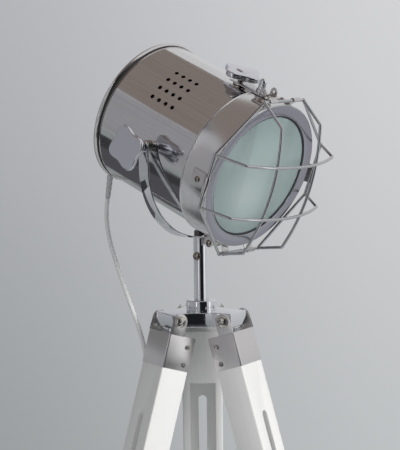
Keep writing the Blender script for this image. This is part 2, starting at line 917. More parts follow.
def dome(radius: float, height: float, base: float, steps: int = 8) -> list[Pair]:
    """The profile of a dome, from its rim on the base up to the axis.

    Args:
        radius: its radius at the rim.
        height: how high it stands.
        base: the height of its rim.
        steps: facets from the rim to the axis.

    Returns:
        Pairs of radius and height.
    """
    ball = (radius * radius + height * height) / (2 * height)
    reach = math.asin(radius / ball)
    sweep = [reach * (1 - i / steps) for i in range(steps + 1)]
    return [(ball * math.sin(a), base + height - ball + ball * math.cos(a)) for a in sweep]


def thread(low: float, high: float, pitch: float) -> list[Pair]:
    """The profile of a bolt's thread.

    Args:
        low: where it starts.
        high: where it ends, or up to a turn later.
        pitch: from one crest to the next.

    Returns:
        Pairs of radius and height.
    """
    profile = []
    at = low
    while at < high:
        profile += [(BOLT_R, at), (BOLT_R - 0.3, at + 0.4 * pitch), (BOLT_R, at + 0.8 * pitch)]
        at += pitch
    return profile


def star_outline(radius: float, points: int = 96, waist: float = 0.12, lobes: int = 4) -> list[Pair]:
    """The lobed outline that all the knobs share, with one lobe towards -y.

    Args:
        radius: from the middle to the tips of the lobes.
        points: how many corners it has.
        waist: half the depth of the hollows between the lobes, as a share of the radius.
        lobes: how many lobes it has.

    Returns:
        The outline's corners.
    """
    spots = []
    for i in range(points):
        a = 2 * math.pi * i / points
        reach = radius * (1 - waist + waist * math.cos(lobes * a))
        spots.append((reach * math.sin(a), -reach * math.cos(a)))
    return spots


def cross_recess(long: float, wide: float, low: float, high: float) -> list[bpy.types.Object]:
    """The two bars that cut a screw's cross.

    Args:
        long: half of a bar's length.
        wide: half of its width.
        low: the bottom of the cross.
        high: the bars' tops, clear of the head.

    Returns:
        The two bars.
    """
    return [
        Bench.block("recess", (-long, -wide, low), (long, wide, high)),
        Bench.block("recess", (-wide, -long, low), (wide, long, high)),
    ]


def cross_screw(name: str, radius: float, height: float, shank: float, length: float) -> bpy.types.Object:
    """A pan-head screw with a cross recess, seated at z = 0 with its shank below.

    Args:
        name: its name.
        radius: radius of the head.
        height: height of the head.
        shank: radius of the shank.
        length: length of the shank.

    Returns:
        The screw.
    """
    under = [(0.0, -length), (shank, -length), (shank, -0.15), (radius * 0.92, -0.02), (radius, 0.25)]
    crown = [(r, z) for r, z in dome(radius, height - 0.25, 0.25) if r > 1e-6]
    screw = Bench.turned(name, under + crown[1:] + [(0.0, height)], 28)
    bars = cross_recess(radius * 0.56, radius * 0.17, height * 0.5, height + 1)
    return Bench.cut(screw, *bars)


# ---------- studio ----------


@dataclass
class Studio:
    """Camera, lamps, floor and backdrop."""

    lens: float = 160.0
    sensor: float = 36.0
    eye: Point = (0.0, -2.789, 1.548)
    pitch: float = -6.25
    roll: float = -0.85
    backdrop: Colour = (0.44, 0.445, 0.475)
    backdrop_light: Colour = (0.67, 0.67, 0.685)
    backdrop_low: Colour = (0.285, 0.305, 0.31)
    backdrop_low_light: Colour = (0.51, 0.53, 0.54)
    even_colour: Colour = (0.97, 0.985, 1.0)
    even_strength: float = 0.24
    floor_colour: Colour = (0.60, 0.625, 0.635)
    floor_radius: float = 2.6
    floor_fade: Pair = (0.9, 2.5)
    middle: Point = (0.0, -0.1, 1.2)

    def camera(self) -> None:
        """Puts the camera where the photograph was taken from."""
        data = bpy.data.cameras.new("camera")
        data.lens, data.sensor_width = self.lens, self.sensor
        data.clip_start, data.clip_end = 0.05, 60.0
        pitch, roll = math.radians(self.pitch), math.radians(self.roll)
        ahead = Vector((0.0, math.cos(pitch), math.sin(pitch)))
        right = ahead.cross(Vector((0.0, 0.0, 1.0))).normalized()
        up = right.cross(ahead)
        across = right * math.cos(roll) + up * math.sin(roll)
        upward = up * math.cos(roll) - right * math.sin(roll)
        camera = bpy.data.objects.new("camera", data)
        bpy.context.collection.objects.link(camera)
        look = Matrix((across, upward, -ahead)).transposed().to_4x4()
        camera.matrix_world = Matrix.Translation(self.eye) @ look
        bpy.context.scene.camera = camera

    def world(self) -> None:
        """A pale backdrop for eye, metal and glass, and an even dimmer light for everything else."""
        world = bpy.data.worlds.new("studio")
        bpy.context.scene.world = world
        world.use_nodes = True
        shader = Shader(world.node_tree)
        way = shader.node("ShaderNodeTexCoord").outputs["Generated"]
        x, _, z = shader.parts(way)
        across = x.between(-0.16, 0.14)
        upper = shader.blend(across, self.backdrop, self.backdrop_light)
        lower = shader.blend(across, self.backdrop_low, self.backdrop_low_light)
        pale = shader.blend(z.between(-0.30, 0.06), lower, upper)
        seen = shader.node("ShaderNodeBackground", None, {"Color": pale, "Strength": 1.0})
        inputs = {"Color": self.even_colour, "Strength": self.even_strength}
        even = shader.node("ShaderNodeBackground", None, inputs)
        path = shader.node("ShaderNodeLightPath").outputs
        direct = Num(shader, path["Is Camera Ray"]) + Num(shader, path["Is Glossy Ray"])
        either = direct + Num(shader, path["Is Transmission Ray"])
        mix = {0: either.between(0.0, 1.0), 1: even.outputs[0], 2: seen.outputs[0]}
        shader.shown(shader.node("ShaderNodeMixShader", None, mix), "ShaderNodeOutputWorld")

    def lamp(
        self, name: str, at: Point, aim: Point, size: Pair, power: float, colour: Colour = (1, 1, 1)
    ) -> None:
        """One soft rectangular lamp that looks at a point.

        Args:
            name: its name.
            at: where it hangs, in metres.
            aim: the point that it looks at.
            size: its width and height.
            power: its power in watts.
            colour: its light's colour.
        """
        data = bpy.data.lights.new(name, "AREA")
        data.shape = "RECTANGLE"
        data.size, data.size_y = size
        data.energy, data.color = power, colour
        lamp = bpy.data.objects.new(name, data)
        bpy.context.collection.objects.link(lamp)
        lamp.location = at
        lamp.visible_glossy = False
        lamp.rotation_euler = (Vector(aim) - Vector(at)).to_track_quat("-Z", "Y").to_euler()

    def card(self, name: str, at: Point, aim: Point, size: Pair, colour: Colour) -> None:
        """A card that only polished metal sees, as a photographer's flag is placed for reflections.

        Args:
            name: its name.
            at: its middle, in metres.
            aim: the point that it faces.
            size: its width and height.
            colour: how bright it is in a reflection.
        """
        Bench.clear()
        bpy.ops.mesh.primitive_plane_add(size=1.0, location=at)
        card = bpy.context.object
        card.name = name
        card.scale = (size[0], size[1], 1.0)
        card.rotation_euler = (Vector(aim) - Vector(at)).to_track_quat("Z", "Y").to_euler()
        material, shader = new_material(name)
        shader.shown(shader.node("ShaderNodeEmission", None, {"Color": colour, "Strength": 1.0}))
        card.data.materials.append(material)
        card.visible_camera = card.visible_diffuse = card.visible_shadow = card.visible_transmission = False

    def floor(self) -> None:
        """A pale floor that fades into the backdrop away from the lamp."""
        Bench.clear()
        bpy.ops.mesh.primitive_circle_add(vertices=96, radius=self.floor_radius, fill_type="NGON")
        floor = bpy.context.object
        floor.name = "floor"
        material, shader = new_material("floor")
        x, y, _ = shader.parts(shader.node("ShaderNodeTexCoord").outputs["Object"])
        away = off_axis(x, y).between(*self.floor_fade)
        paint = {"Base Color": self.floor_colour, "Roughness": 0.85}
        matt = shader.node("ShaderNodeBsdfPrincipled", None, paint)
        pale = shader.node("ShaderNodeEmission", None, {"Color": self.backdrop, "Strength": 1.0})
        mix = {0: away, 1: matt.outputs[0], 2: pale.outputs[0]}
        shader.shown(shader.node("ShaderNodeMixShader", None, mix))
        floor.data.materials.append(material)

    def cards(self) -> None:
        """Hangs the cards: round the front, on the left, overhead, by the floor, and two windows."""
        middle = self.middle
        self.card("dark_front", (1.0, -3.3, 1.2), middle, (3.6, 4.6), (0.012, 0.012, 0.014))
        self.card("soft_left", (-2.3, -2.3, 1.45), middle, (2.1, 2.9), (0.32, 0.315, 0.335))
        self.card("strip_left", (-1.85, -2.55, 1.35), middle, (0.20, 2.6), (1.8, 1.78, 1.75))
        self.card("strip_right", (3.1, -1.25, 1.35), middle, (0.55, 2.6), (1.35, 1.36, 1.38))
        self.card("left_wall", (-3.6, -0.4, 2.15), middle, (3.0, 3.1), (0.315, 0.315, 0.335))
        self.card("left_back", (-3.0, 1.8, 2.25), middle, (2.2, 1.9), (0.19, 0.19, 0.195))
        self.card("ceiling", (-1.3, 0.3, 3.9), (-1.3, 0.3, 0.0), (4.0, 4.4), (0.24, 0.205, 0.19))
        self.card("front_ceiling", (0.6, -3.2, 3.7), (0.6, -3.2, 0.0), (4.4, 2.6), (0.10, 0.095, 0.095))
        self.card("low_far", (-3.3, 0.7, 0.03), (-3.3, 0.7, 1.0), (1.6, 3.0), (0.045, 0.045, 0.05))
        self.card("low_near", (-1.75, 1.4, 0.03), (-1.75, 1.4, 1.0), (1.5, 2.0), (0.085, 0.085, 0.095))
        self.card("low_front", (0.8, -2.2, 0.03), (0.8, -2.2, 1.0), (3.2, 2.6), (0.06, 0.06, 0.065))
        self.card("window_left", (-1.2, -3.0, 2.9), middle, (0.7, 0.5), (2.4, 2.35, 2.3))
        self.card("window_right", (2.4, -1.6, 2.3), middle, (0.9, 1.1), (1.0, 1.0, 1.0))

    def build(self) -> None:
        """Lays the floor, hangs the lamps and the cards, and sets the view."""
        self.floor()
        self.world()
        self.lamp("key", (2.3, -1.9, 2.2), (0.0, -0.1, 1.0), (1.4, 1.8), 90.0, (1.0, 0.99, 0.98))
        self.lamp("fill", (-1.6, -2.6, 1.8), (0.0, -0.1, 1.0), (1.2, 1.6), 15.0)
        self.lamp("top", (0.1, 0.1, 3.3), (0.0, -0.1, 1.1), (1.6, 1.2), 15.0)
        self.cards()
        bpy.context.scene.view_settings.view_transform = "Standard"


# ---------- cords and what is on them ----------


def smooth_path(points: Sequence[Point], pitch: float) -> list[Vector]:
    """A smooth line through hand-set points.

    Args:
        points: the places that it goes through.
        pitch: about how far apart its own points are.

    Returns:
        The line's points, both ends included.
    """
    spots = [Vector(p) for p in points]
    spots = [spots[0] * 2 - spots[1], *spots, spots[-1] * 2 - spots[-2]]
    line = [spots[1]]
    for a, b, c, d in zip(spots, spots[1:], spots[2:], spots[3:]):
        knots = [0.0]
        for p, q in ((a, b), (b, c), (c, d)):
            knots.append(knots[-1] + max(1e-6, (q - p).length) ** 0.5)
        steps = max(1, round((c - b).length / pitch))
        for i in range(1, steps + 1):
            t = knots[1] + (knots[2] - knots[1]) * i / steps
            line.append(spline_point(a, b, c, d, knots, t))
    return line


def spline_point(a: Vector, b: Vector, c: Vector, d: Vector, k: Sequence[float], t: float) -> Vector:
    """A point on a centripetal spline between b and c.

    Args:
        a: the point before the stretch.
        b: its start.
        c: its end.
        d: the point after it.
        k: the four points' knots.
        t: where on the stretch, between the second knot and the third.

    Returns:
        The point.
    """
    ab = a.lerp(b, (t - k[0]) / (k[1] - k[0]))
    bc = b.lerp(c, (t - k[1]) / (k[2] - k[1]))
    cd = c.lerp(d, (t - k[2]) / (k[3] - k[2]))
    abc = ab.lerp(bc, (t - k[0]) / (k[2] - k[0]))
    bcd = bc.lerp(cd, (t - k[1]) / (k[3] - k[1]))
    return abc.lerp(bcd, (t - k[1]) / (k[2] - k[1]))


@dataclass
class Cord:
    """The white lead: from the head's elbow to the foot switch, and on to the coil and its plug."""

    radius: float = 3.0
    coil_at: Pair = (-291.0, 73.0)
    coil_inner: float = 25.5
    pitch: float = 6.6
    turns: int = 3
    coil_low: float = 4.2
    coil_dip: float = 0.7
    coil_start: float = 60.0
    tail: float = 12.0  # the straight stretch before the coil and after it
    socket: float = 40.0  # where the cord starts, just inside the switch's end
    socket_step: float = 4.0  # from there to the next point of its route
    socket_height: float = 6.0
    loose_to: float = 1.09  # the height in metres below which the drop no longer follows the yoke
    upper: tuple[Point, ...] = (
        (-128, 70, 1284), (-129.6, 70, 1272), (-130, 69, 1254),
        (-128, 65, 1236), (-124, 59, 1218), (-118.5, 52, 1200),
    )
    drop: tuple[Point, ...] = (
        (-118.4, 51.8, 1199.6), (-112, 43.5, 1180), (-104, 33, 1158), (-95.5, 22.5, 1135),
        (-87, 12.5, 1112), (-80, 5, 1088), (-76, 1.2, 1062), (-74.3, 0, 1034), (-74, 0, 1004),
        (-74, 0, 980), (-74, 0, 900), (-74, 0, 800), (-74, 0, 700), (-74, 0, 600), (-74, 0, 500),
        (-74, 0, 400), (-74, 0, 300), (-74, 0, 200), (-74, 0, 120), (-74, 0, 70), (-74, 0, 48),
        (-77, 1.7, 31), (-85.4, 6.6, 16.2), (-98, 13.9, 6.4), (-113, 22.5, 3), (-127.7, 31, 3),
        (-141.5, 39, 4.6), (-149, 43.3, 6), (-155.2, 46.9, 6),
    )

    @property
    def coil_turns(self) -> float:
        """Turns of the whole coil: its lower layer, the crossing and its upper layer."""
        return 2 * self.turns + 0.5

    def mouth(self) -> Vector:
        """Middle of the elbow's ball, in the stem's frame."""
        return STEM.matrix.inverted() @ HEAD.matrix @ Vector(ELBOW)

    def coil_point(self, turned: float) -> Point:
        """A point of the coil after so many turns: inwards on the floor, up, and outwards above.

        Args:
            turned: turns from the coil's start.

        Returns:
            The point, in the stem's frame.
        """
        if turned < self.turns:
            radius = self.coil_inner + self.pitch * (self.turns - turned)
        elif turned < self.turns + 0.5:
            radius = self.coil_inner - self.coil_dip * math.sin(2 * math.pi * (turned - self.turns))
        else:
            radius = self.coil_inner + self.pitch * (turned - self.turns - 0.5)
        angle = math.radians(self.coil_start) + 2 * math.pi * turned
        climb = min(1.0, max(0.0, 2 * (turned - self.turns)))
        height = self.coil_low + self.pitch * climb
        x, y = self.coil_at
        return (x + radius * math.cos(angle), y + radius * math.sin(angle), height)

    def coil_way(self, turned: float) -> Vector:
        """The coil's direction after so many turns."""
        angle = math.radians(self.coil_start) + 2 * math.pi * turned
        return Vector((-math.sin(angle), math.cos(angle), 0.0))

    def coil_path(self) -> list[Vector]:
        """The coil with a straight start and end.

        Returns:
            The coil's centreline in the stem's frame.
        """
        steps = 48
        rings = [Vector(self.coil_point(i / steps)) for i in range(int(self.coil_turns * steps) + 1)]
        start, end = self.coil_way(0.0), self.coil_way(self.coil_turns)
        lead = [rings[0] - start * self.tail, rings[0] - start * self.tail / 2]
        return lead + rings + [rings[-1] + end * self.tail / 2, rings[-1] + end * self.tail]

    def run(
        self, name: str, path: Sequence[Vector], node: str
    ) -> tuple[bpy.types.Object, list[Point], float]:
        """Lays one stretch of the cord.

        Args:
            name: its name.
            path: its centreline in the stem's frame.
            node: the frame's node that it stands for.

        Returns:
            The stretch, its centreline in metres and its length in metres.
        """
        piece = Bench.tube(name, [tuple(p) for p in path], self.radius, rounds=5)
        Bench.laid(piece, Matrix.Scale(MM, 4) @ STEM.matrix)
        bpy.ops.object.shade_smooth()
        piece.data.materials.clear()
        piece.data.materials.append(CORD_SKIN.dress(STEM))
        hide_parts(*node.split())
        line = [STEM.matrix @ p * MM for p in path]
        length = sum((b - a).length for a, b in zip(line, line[1:]))
        log.info("%s is %.3f m long", name, length)
        return piece, [tuple(p) for p in line], length

    def sleeve(self) -> bpy.types.Object:
        """The ribbed sleeve that eases the cord out of the elbow.

        Returns:
            The sleeve.
        """
        start, end = self.mouth(), Vector(self.upper[0])
        way = (end - start).normalized()
        low, high = 7.6, (end - start).length - 0.3
        bore, wide, slim, groove, ribs = self.radius + 0.05, 5.0, 3.7, 0.7, 7
        profile = [(bore, low), (wide, low)]
        for i in range(ribs):
            at = low + (high - low) * (i + 0.5) / ribs
            radius = wide + (slim - wide) * (i + 0.5) / ribs
            profile += [(radius, at - 1.3), (radius, at + 0.5)]
            profile += [(radius - groove, at + 0.9), (radius - groove, at + 1.7)]
        profile += [(3.65, high - 0.2), (3.3, high), (bore, high)]
        piece = Bench.turned("cord_sleeve", profile, 36, closed=True)
        spin = way.to_track_quat("Z", "Y").to_matrix().to_4x4()
        Bench.laid(piece, Matrix.Translation(start) @ spin)
        return Bench.fitted(piece, STEM, "head", GREY_RUBBER, ["strain_relief"])

    def plug(self) -> bpy.types.Object:
        """A moulded two-pin plug with finger ribs, beside the coil.

        Returns:
            The plug's case.
        """
        way = self.coil_way(self.coil_turns)
        at = Vector(self.coil_point(self.coil_turns)) + way * self.tail
        grip, groove = 10.2, 9.7
        body = [(0.0, 0.0), (4.2, 0.0), (4.5, 0.5), (4.5, 2.0), (3.9, 2.4), (3.9, 3.6), (4.5, 4.0)]
        body += [(4.5, 5.6), (3.9, 6.0), (3.9, 7.2), (4.5, 7.6), (4.5, 9.4), (5.2, 11.0), (7.2, 12.8)]
        body += [(9.4, 14.4), (grip, 16.6), (grip, 19.0)]
        for rib in (20.0, 23.0, 26.0, 29.0):
            body += [(grip, rib), (groove, rib + 0.5), (groove, rib + 1.5), (grip, rib + 2.0)]
        body += [(grip, 38.2), (groove, 39.6), (8.6, 40.0), (0.0, 40.0)]
        blade = Bench.block("blade", (-0.75, -3.15, 39.0), (0.75, 3.15, 57.0), 0.4, 2)
        pins = Bench.copies("plug_pins", blade, [shift(-6.35, 0, 0), shift(6.35, 0, 0)])
        case = Bench.turned("plug_body", body, 40)
        lie = Matrix.Translation(at) @ way.to_track_quat("Z", "X").to_matrix().to_4x4()
        flat = lie @ turn(self._pins_turn(way), "Z")
        Bench.laid(case, flat)
        Bench.laid(pins, flat)
        Bench.fitted(pins, STEM, "stand", BOLT)
        return Bench.fitted(case, STEM, "stand", WHITE_PLASTIC, ["plug"])

    def _pins_turn(self, way: Vector) -> float:
        """The turn that lays the plug's two pins side by side on the floor."""
        across = way.to_track_quat("Z", "X").to_matrix() @ Vector((1.0, 0.0, 0.0))
        level = Vector((0.0, 0.0, 1.0)).cross(way)
        return math.degrees(math.atan2(across.cross(level).dot(way), across.dot(level)))

    def tie(self) -> bpy.types.Object:
        """A flat strap round the coil's turns.

        Returns:
            The strap.
        """
        inside = self.coil_inner - self.radius - 0.3 - self.coil_dip
        outside = self.coil_inner + self.pitch * self.turns + self.radius + 0.3
        low, high = self.coil_low - self.radius - 0.2, self.coil_low + self.pitch + self.radius + 0.3
        band = 0.9
        bottom, top = low - band, high + band
        ring = Bench.block("coil_strap", (inside - band, -4, bottom), (outside + band, 4, top), 0.6, 2)
        Bench.cut(ring, Bench.block("room", (inside, -6, low), (outside, 6, high)))
        knob = Bench.block("tie_head", (inside + 6, -5, top - 0.2), (inside + 13, 5, top + 2.2), 0.7, 2)
        strap = Bench.join("coil_strap", [ring, knob])
        Bench.laid(strap, shift(self.coil_at[0], self.coil_at[1], 0) @ turn(150, "Z"))
        return Bench.fitted(strap, STEM, "stand", TIE_STRAP, ["coil_tie"])

    def build(self, switch: Sequence[bpy.types.Object]) -> None:
        """Args:
            switch: the foot switch's pieces, which the drop runs into.
        """
        sleeve, plug, tie = self.sleeve(), self.plug(), self.tie()
        upper = smooth_path(self.upper, 2.0)
        piece, line, length = self.run("lead_upper", upper, "cord_upper")
        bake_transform(piece)
        drop = smooth_path([upper[-1], *self.drop[1:]], 4.0)
        piece, line, length = self.run("lead_drop", drop, "cord_drop")
        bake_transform(piece)
        coil = self.coil_path()
        outlet = STEM.matrix.inverted() @ SWITCH.matrix
        inner = outlet @ Vector((self.socket, 0.0, self.socket_height))
        outer = outlet @ Vector((self.socket + self.socket_step, 0.0, self.socket_height))
        start = smooth_path([inner, outer, coil[0]], 1.5)
        piece, line, length = self.run("lead_coil", start[:-1] + coil, "cord_floor cord_coil")
        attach(piece, "stand")


@dataclass
class FootSwitch:
    """The round-cornered foot switch on the floor."""

    length: float = 84.0
    width: float = 44.0
    base: float = 6.0
    height: float = 22.0
    button: float = 12.0

    def outline(self, trim: float, corner: float) -> list[Pair]:
        """The case's outline, trimmed all round.

        Args:
            trim: how far inside the case's edge it runs.
            corner: radius of its corners.

        Returns:
            The outline's corners.
        """
        x, y = self.length / 2 - trim, self.width / 2 - trim
        spots: list[Pair] = []
        for sx, sy, start in ((1, 1, 0), (-1, 1, 90), (-1, -1, 180), (1, -1, 270)):
            spots += arc((sx * (x - corner), sy * (y - corner)), corner, start, start + 90, 7)
        return spots

    def build(self) -> list[bpy.types.Object]:
        """Makes the base, cover and button.

        Returns:
            The pieces.
        """
        base = Bench.plate("switch_sole", self.outline(0.0, 10.0), self.base - 0.4, 0.8, 2)
        cover = Bench.plate("switch_case", self.outline(0.0, 10.0), self.height - self.base)
        Bench.laid(cover, shift(0, 0, self.base))
        Bench.eased(cover, 2.6, 5)
        Bench.cut(cover, Bench.rod("well", self.button + 0.4, self.base + 4, self.height + 2, 64))
        ring = [(12.4, 20.5), (16.4, 21.9), (16.4, 22.4), (15.8, 22.7), (13.4, 22.5), (12.4, 21.9)]
        cover = Bench.join("switch_case", [cover, Bench.turned("well_ring", ring, 64, closed=True)])
        top, dip, r = 27.3, 27.0, self.button
        side = [(0.0, 11.5), (14.0, 11.5), (14.0, 17.7), (r, 17.7), (r, 26.2), (11.6, dip), (10.6, 27.5)]
        face = [(8.6, top), (8.2, dip), (7.2, dip), (6.8, top), (4.6, top), (4.2, dip), (3.2, dip)]
        button = Bench.turned("switch_push_cap", side + face + [(2.8, top), (0.0, top)], 56)
        return [
            Bench.fitted(base, SWITCH, "stand", GREY_PLASTIC, ["switch_base"]),
            Bench.fitted(cover, SWITCH, "stand", WHITE_PLASTIC, ["switch_cover"]),
            Bench.fitted(button, SWITCH, "switch_push", WHITE_PLASTIC, ["switch_button"]),
        ]


# ---------- stand ----------


@dataclass
class HubGroup:
    """The cast hub, its collar, the stem and the leg bolts."""

    thickness: float = 20.0
    lug_width: float = 44.0
    lug_reach: float = 58.0
    facet: float = 34.0
    stem_radius: float = 9.5
    stem_bore: float = 7.6
    stem_top: float = 1235.7
    grip_at: float = 1210.0
    collar_radius: float = 20.5
    collar_height: float = 14.0

    def hub(self) -> None:
        """A three-lobed casting with eased edges, a bore and a lip under each lug."""
        half = self.lug_width / 2
        root = (self.facet - half * math.sin(math.radians(60))) / math.cos(math.radians(60))
        outline = []
        for azimuth in LEG_AZIMUTHS.values():
            cos, sin = math.cos(math.radians(azimuth)), math.sin(math.radians(azimuth))
            for side, out in ((-1, root), (-1, self.lug_reach), (1, self.lug_reach), (1, root)):
                across = side * half
                outline.append((across * cos + out * sin, across * sin - out * cos))
        hub = Bench.plate("hub_casting", outline, self.thickness, 1.6, 4)
        Bench.laid(hub, shift(0, 0, HUB_TOP - self.thickness))
        Bench.cut(hub, Bench.rod("bore", self.stem_radius + 0.05, HUB_TOP - 30, HUB_TOP + 5, 64))
        lip = Bench.block("lip", (-10, -57.5, 1108.5), (10, -54.5, 1120.0), 0.5, 2)
        lips = Bench.copies("lip", lip, [turn(a, "Z") for a in LEG_AZIMUTHS.values()])
        Bench.fitted(Bench.join("hub_casting", [hub, lips]), STEM, "stand", CASTING, ["hub"])

    def collar(self) -> None:
        """A turned ring with a rounded shoulder and a fine groove."""
        r, h, bore = self.collar_radius, self.collar_height, self.stem_radius + 0.05
        profile = [(bore, 0.0), (r - 0.5, 0.0), (r, 0.5)]
        profile += [(r, h - 2.2), *arc((r - 2.0, h - 2.0), 2.0, 6, 84, 5), (r - 2.4, h)]
        profile += [(bore + 1.4, h), (bore + 1.0, h - 0.6), (bore, h - 0.9)]
        collar = Bench.turned("collar_ring", profile, 96, closed=True)
        Bench.laid(collar, shift(0, 0, HUB_TOP))
        Bench.fitted(collar, STEM, "stand", CASTING, ["collar"])

    def stem(self) -> None:
        """The stem tube with its bore and eased ends, and the screw that grips the yoke's pin."""
        r, bore, low, top = self.stem_radius, self.stem_bore, HUB_TOP - self.thickness, self.stem_top
        profile = [(bore, low), (r - 0.4, low), (r, low + 0.4), (r, top - 0.6), (r - 0.5, top)]
        profile += [(bore + 0.2, top), (bore, top - 0.3)]
        stem = Bench.turned("stem_pipe", profile, 96, closed=True)
        Bench.fitted(stem, STEM, "stand", CHROME, ["stem_tube"])
        screw = cross_screw("grip_screw", 6.0, 3.6, 2.5, 4.0)
        seat = shift(0, 0, self.grip_at) @ turn(-33, "Z") @ shift(0, -self.stem_radius - 0.1, 0)
        Bench.laid(screw, seat @ turn(90, "X"))
        Bench.fitted(screw, STEM, "stand", SCREW, ["set_screw"])

    def bolts(self) -> None:
        """Pivot bolts, each with a spacer, a washer and a domed head at both ends."""
        shank = [(0.0, 0.0), (BOLT_R, 0.0), (BOLT_R, 22.0)]
        spacer = [(6.6, 22.0), (7.0, 22.4), (7.0, 27.3), (6.6, 27.7), (BOLT_R, 27.7)]
        washer = [(BOLT_R, 29.3), (8.7, 29.3), (9.0, 29.6), (9.0, 30.0), (8.7, 30.25), (7.7, 30.25)]
        head = [(7.7, 31.2), *dome(7.3, 3.0, 31.2)[:-1], (0.0, 34.2)]
        half = Bench.turned("bolt_half", shank + spacer + washer + head, 40)
        Bench.cut(half, *cross_recess(4.2, 1.1, 32.4, 36))
        spots = []
        for azimuth in LEG_AZIMUTHS.values():
            hinge = turn(azimuth, "Z") @ shift(0, -PIVOT_R, PIVOT_Z)
            spots += [hinge @ turn(side, "Y") @ turn(25, "Z") for side in (90, -90)]
        bolts = Bench.copies("hinge_bolts", half, spots)
        Bench.fitted(bolts, STEM, "stand", BOLT, ["leg_pivot_bolts"])

    def build(self) -> None:
        """Makes the whole group."""
        self.hub()
        self.collar()
        self.stem()
        self.bolts()


@dataclass
class Leg:
    """One telescopic leg with its cap, clamp and foot."""

    side: str
    width: float = 56.0
    outer: float = 11.0
    depth: float = 40.0
    top: float = 18.0
    bottom: float = 665.0
    channel_width: float = 36.0
    channel_depth: float = 26.0
    channel_top: float = 98.0
    slot: float = 11.5
    slot_top: float = 130.0
    slot_bottom: float = 639.0
    cap_top: float = 17.5
    cap_length: float = 46.0
    cap_wall: float = 1.0
    cap_bend: float = 2.2
    cap_screw_at: Pair = (14.0, 38.0)
    lower_top: float = 539.0
    lower_end: float = 1158.9
    play: float = 0.5
    clamp_at: float = 574.0

    @property
    def place(self) -> Place:
        """The leg's frame."""
        return leg_place(self.side)

    def cap(self) -> None:
        """A folded sheet cap with two tongues, and its four screws."""
        wall, bend = self.cap_wall, self.cap_bend
        half, face, back = self.width / 2 + wall, -(self.outer + wall), self.depth - self.outer
        outside = [(-half, back), *arc((-half + bend, face + bend), bend, 180, 270, 5)]
        outside += [*arc((half - bend, face + bend), bend, 270, 360, 5), (half, back)]
        inside = [(half - wall, back), (half - wall, face + wall)]
        inside += [(-half + wall, face + wall), (-half + wall, back)]
        sleeve = Bench.plate("cap_sleeve", outside + inside, self.cap_length, 0.22, 2)
        Bench.laid(sleeve, shift(0, 0, -self.cap_top - self.cap_length))
        tongue = [(self.cap_top + 1, -self.outer), *arc((0.0, 0.0), self.outer, 270, 90, 20)]
        tongue += [(self.cap_top, self.outer + wall), (self.cap_top + 1, self.outer + wall)]
        sheet = Bench.plate("cap_tongue", tongue, wall, 0.22, 2)
        spots = [shift(x, 0, 0) @ HANGING for x in (half, -half + wall)]
        pair = Bench.copies("cap_tongue", sheet, spots)
        cap = Bench.join(f"cap_{self.side}", [sleeve, pair])
        Bench.fitted(cap, self.place, f"leg_{self.side}", CAP_SHEET, [f"leg_cap_{self.side}"], angle=38)
        screw = cross_screw("cap_screw", 3.5, 1.6, 1.7, 6.0)
        spots = []
        for along in self.cap_screw_at:
            low = self.cap_top + along
            for side in (1, -1):
                seat = shift(side * half, 19.0, -low) @ turn(side * 90, "Y")
                spots.append(seat @ turn(20 + low * 3, "Z"))
        screws = Bench.copies(f"cap_fixings_{self.side}", screw, spots)
        Bench.fitted(screws, self.place, f"leg_{self.side}", CAP_SCREW, [f"cap_screws_{self.side}"])

    def upper(self) -> None:
        """The painted upper leg with its channel and clamp slot."""
        half, inner = self.width / 2, self.depth - self.outer
        near, far = (-half, -self.outer, -self.bottom), (half, inner, -self.top)
        beam = Bench.block(f"beam_{self.side}", near, far, 1.6, 3)
        wide = self.channel_width / 2
        floor = inner - self.channel_depth
        near, far = (-wide, floor, -self.bottom - 5), (wide, inner + 5, -self.channel_top)
        Bench.cut(beam, Bench.block("channel", near, far))
        r = self.slot / 2
        high, low = -self.slot_top - r, -self.slot_bottom + r
        outline = arc((0.0, high), r, 0, 180, 16) + arc((0.0, low), r, 180, 360, 16)
        slot = Bench.plate("slot", outline, 60.0)
        Bench.laid(slot, shift(0, floor + 10, 0) @ turn(90, "X"))
        Bench.cut(beam, slot)
        Bench.eased(beam, 0.7, 2, 50)
        Bench.fitted(beam, self.place, f"leg_{self.side}", PAINT, [f"upper_leg_{self.side}"], angle=40)

    def lower(self) -> None:
        """The sliding lower leg and its rubber foot."""
        wide, inner = self.channel_width / 2 - self.play, self.depth - self.outer
        outer = inner - self.channel_depth + self.play
        near, far = (-wide, outer, -self.lower_end), (wide, inner, -self.lower_top)
        beam = Bench.block(f"runner_{self.side}", near, far, 1.6, 3)
        hole = Bench.rod("hole", BOLT_R + 0.05, -60, 60, 32)
        Bench.laid(hole, shift(0, 0, -self.clamp_at) @ turn(90, "X"))
        Bench.cut(beam, hole)
        Bench.fitted(beam, self.place, f"leg_end_{self.side}", PAINT, [f"lower_leg_{self.side}"], angle=40)
        end, gap = -self.lower_end, 0.05
        parts = []
        for name, wall, low, high in (("shoe", 2.5, -40, 24), ("shoe_lip", 3.7, 18.5, 23)):
            near, far = (-wide - wall, outer - wall, low + end), (wide + wall, inner + wall, high + end)
            block = Bench.block(name, near, far, 0.55 * wall, 3)
            near, far = (-wide - gap, outer - gap, end), (wide + gap, inner + gap, 60 + end)
            parts.append(Bench.cut(block, Bench.block("socket", near, far)))
        shoe = Bench.join(f"foot_shoe_{self.side}", parts)
        Bench.fitted(shoe, self.place, f"leg_end_{self.side}", RUBBER, [f"foot_{self.side}"])
        self.level(shoe)

    def level(self, shoe: bpy.types.Object) -> None:
        """Cuts a laid foot level with the floor.

        Args:
            shoe: the foot, in metres.
        """
        Bench.pick(shoe)
        bpy.ops.object.mode_set(mode="EDIT")
        bpy.ops.mesh.select_all(action="SELECT")
        bpy.ops.mesh.bisect(plane_co=(0, 0, 0), plane_no=(0, 0, 1), use_fill=True, clear_inner=True)
        bpy.ops.object.mode_set(mode="OBJECT")

